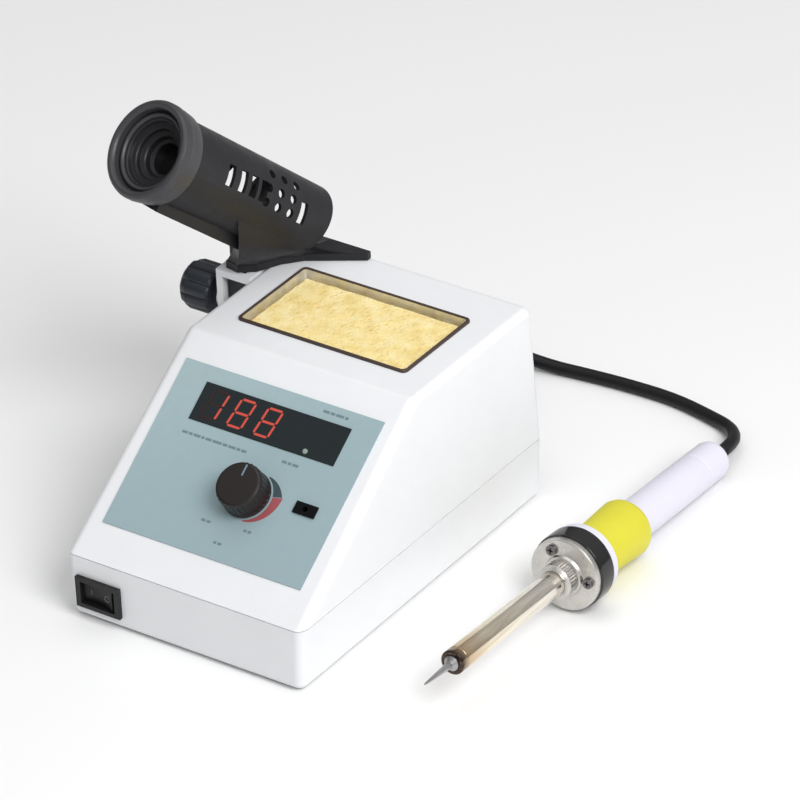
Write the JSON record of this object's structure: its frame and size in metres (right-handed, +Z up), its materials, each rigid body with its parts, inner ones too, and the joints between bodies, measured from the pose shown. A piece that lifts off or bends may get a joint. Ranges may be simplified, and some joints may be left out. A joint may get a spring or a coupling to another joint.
{
  "type": "soldering iron station",
  "caption": "Box with a sloping front panel, knob, rocker switch, sponge tray and clamped iron holder, and a corded pencil iron that lies beside it.",
  "frame": {"origin": "on the bench, under the middle of the whole object's bounding box measured without the free cord and its coil", "axes": "+Z up; -Y towards the user, the way the sloping front faces; +Y the rear panel; +X the side on which the iron lies"},
  "size_m": [0.2218, 0.2603, 0.1786],
  "materials": {
    "case_plastic": "fine moulded grain, off-white",
    "zinc_steel": "zinc-plated",
    "foot_rubber": "matt",
    "label_film": "satin blue-grey printed film",
    "window_plastic": "smoked, glossy",
    "black_plastic": "semi-gloss moulded",
    "lamp_red": "translucent red lens",
    "circuit_board": "glass-fibre board",
    "plated_metal": "nickel-plated",
    "blue_plastic": "moulded",
    "brass": "turned",
    "tray_plastic": "dark brown, heat-resistant",
    "sponge": "dense yellow cellulose",
    "core_steel": "laminated, varnished",
    "winding_tape": "taped winding",
    "green_plastic": "moulded",
    "cord_rubber": "silicone, satin",
    "holder_plastic": "heat-resistant, glossy charcoal",
    "holder_rim": "heat-resistant, charcoal",
    "tip_metal": "iron-plated, dulled by heat",
    "barrel_chrome": "chrome with a slight heat tint",
    "ceramic": "fired",
    "flange_steel": "turned",
    "ring_black": "moulded phenolic",
    "handle_plastic": "satin, pale",
    "collar_yellow": "soft-touch yellow"
  },
  "bodies": {
    "station": {"upper_case": "case_plastic", "base_case": "case_plastic", "case_screws": "zinc_steel", "rubber_feet": "foot_rubber", "front_label": "label_film", "display_window": "window_plastic", "display_module": "black_plastic", "heating_lamp": "lamp_red", "panel_board": "circuit_board", "potentiometer": "plated_metal", "potentiometer_nut": "plated_metal", "calibration_port": "black_plastic", "calibration_trimmer": "blue_plastic", "switch_frame": "black_plastic", "sponge_tray": "tray_plastic", "mains_inlet": "black_plastic", "inlet_pins": "plated_metal", "inlet_screws": "zinc_steel", "cord_gland": "cord_rubber", "transformer_core": "core_steel", "transformer_coil": "winding_tape", "transformer_bracket": "zinc_steel", "transformer_screws": "zinc_steel", "board_posts": "case_plastic", "control_board": "circuit_board", "board_screws": "zinc_steel", "terminal_block": "green_plastic", "board_fuse": "plated_metal", "holder_socket": "case_plastic", "socket_screws": "zinc_steel", "clamp_insert": "brass", "cord_exit": "cord_rubber", "cord_coil": "cord_rubber", "cord_lead": "cord_rubber"},
    "temperature_knob": {"knob_shaft": "plated_metal", "temperature_knob": "black_plastic"},
    "power_rocker": {"switch_rocker": "black_plastic"},
    "calibration_screw": {"calibration_screw": "brass"},
    "sponge": {"sponge": "sponge"},
    "clamp_washer": {"clamp_washer": "zinc_steel"},
    "thumb_screw": {"thumb_bolt": "zinc_steel", "thumb_knob": "black_plastic"},
    "holder": {"holder_pedestal": "holder_plastic", "holder_tube": "holder_plastic", "holder_mouth": "holder_rim", "holder_guide": "holder_plastic"},
    "iron": {"soldering_tip": "tip_metal", "tip_barrel": "barrel_chrome", "heater_rod": "ceramic", "barrel_nut": "barrel_chrome", "flange_disc": "flange_steel", "flange_screws": "zinc_steel", "insulator_ring": "ring_black", "handle": "handle_plastic", "grip_collar": "collar_yellow", "handle_end_cap": "handle_plastic", "strain_relief": "cord_rubber"}
  },
  "joints": [
    {"name": "temperature_turn", "type": "hinge", "parent": "station", "child": "temperature_knob", "pos_m": [-0.0097, -0.07336, 0.05582], "axis": [0, -0.583, 0.8124], "range_deg": [-150, 150]},
    {"name": "power_rock", "type": "hinge", "parent": "station", "child": "power_rocker", "pos_m": [-0.0583, -0.10813, 0.0132], "axis": [0, 0, 1], "range_deg": [0, 16]},
    {"name": "calibration_turn", "type": "hinge", "parent": "station", "child": "calibration_screw", "pos_m": [0.0173, -0.07198, 0.05681], "axis": [0, -0.583, 0.8124], "range_deg": [-120, 120]},
    {"name": "sponge_lift", "type": "slide", "parent": "station", "child": "sponge", "axis": [0, 0, 1], "range_m": [0, 0.014]},
    {"name": "clamp_travel", "type": "slide", "parent": "station", "child": "clamp_washer", "axis": [-1, 0, 0], "range_m": [0, 0.0024]},
    {"name": "clamp_turn", "type": "hinge", "parent": "clamp_washer", "child": "thumb_screw", "pos_m": [-0.0889, 0.02527, 0.074], "axis": [-1, 0, 0], "range_deg": [0, 1080]},
    {"name": "holder_lift", "type": "slide", "parent": "station", "child": "holder", "axis": [0, 0, 1], "range_m": [0, 0.03]},
    {"name": "iron_lift", "type": "slide", "parent": "station", "child": "iron", "axis": [0, 0, 1], "range_m": [0, 0.06]}
  ],
  "couplings": [
    {"joint": "clamp_turn", "follows": "clamp_travel", "rad_per_m": 7854}
  ]
}
